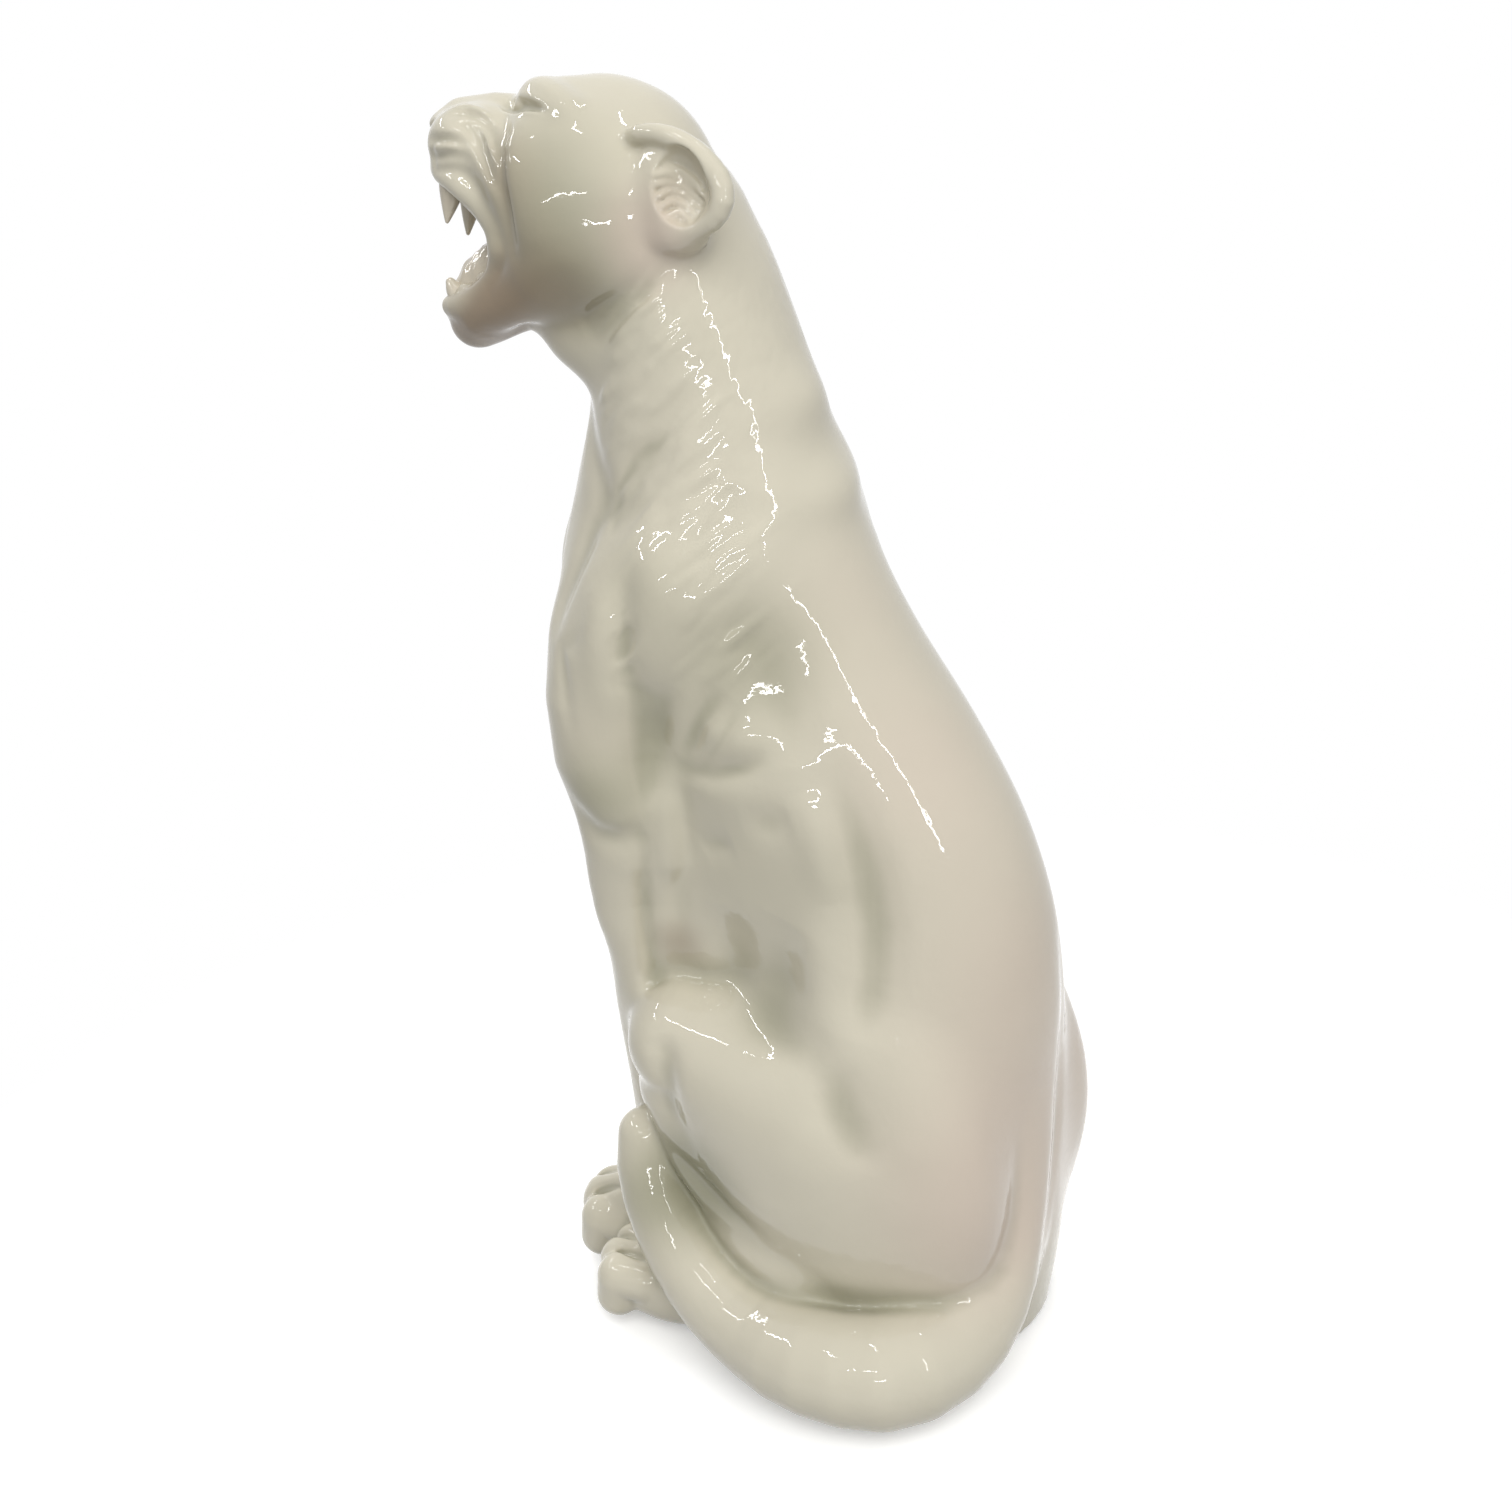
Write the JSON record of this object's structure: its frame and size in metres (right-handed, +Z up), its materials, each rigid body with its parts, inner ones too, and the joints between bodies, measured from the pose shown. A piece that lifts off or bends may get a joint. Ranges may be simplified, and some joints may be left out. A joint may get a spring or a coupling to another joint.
{
  "type": "seated panther statue",
  "caption": "Seated roaring panther statue in glazed ceramic: hollow trunk, turned head with open mouth and teeth, tail laid round its side; stands on rubber bumpers as decor.",
  "frame": {"origin": "middle of the bounding box, at the level the bumpers stand on", "axes": "+Z up, the animal faces -Y, its own left side is +X"},
  "size_m": [0.3104, 0.3692, 0.8452],
  "materials": {
    "glaze": "cream high-gloss glaze, greyer in the hollows",
    "glaze_mouth": "same glaze, slightly warmer in the mouth",
    "bumper": "matt dark rubber"
  },
  "bodies": {
    "root": {"torso_casting": "glaze", "head_casting": "glaze", "lower_jaw": "glaze", "tongue": "glaze_mouth", "left_ear": "glaze", "right_ear": "glaze", "upper_left_canine": "glaze_mouth", "upper_right_canine": "glaze_mouth", "lower_left_canine": "glaze_mouth", "lower_right_canine": "glaze_mouth", "upper_incisors": "glaze_mouth", "lower_incisors": "glaze_mouth", "left_foreleg": "glaze", "right_foreleg": "glaze", "left_haunch": "glaze", "right_haunch": "glaze", "left_hind_foot": "glaze", "right_hind_foot": "glaze", "tail": "glaze", "base_plate": "glaze", "bumper_feet": "bumper"}
  },
  "joints": []
}
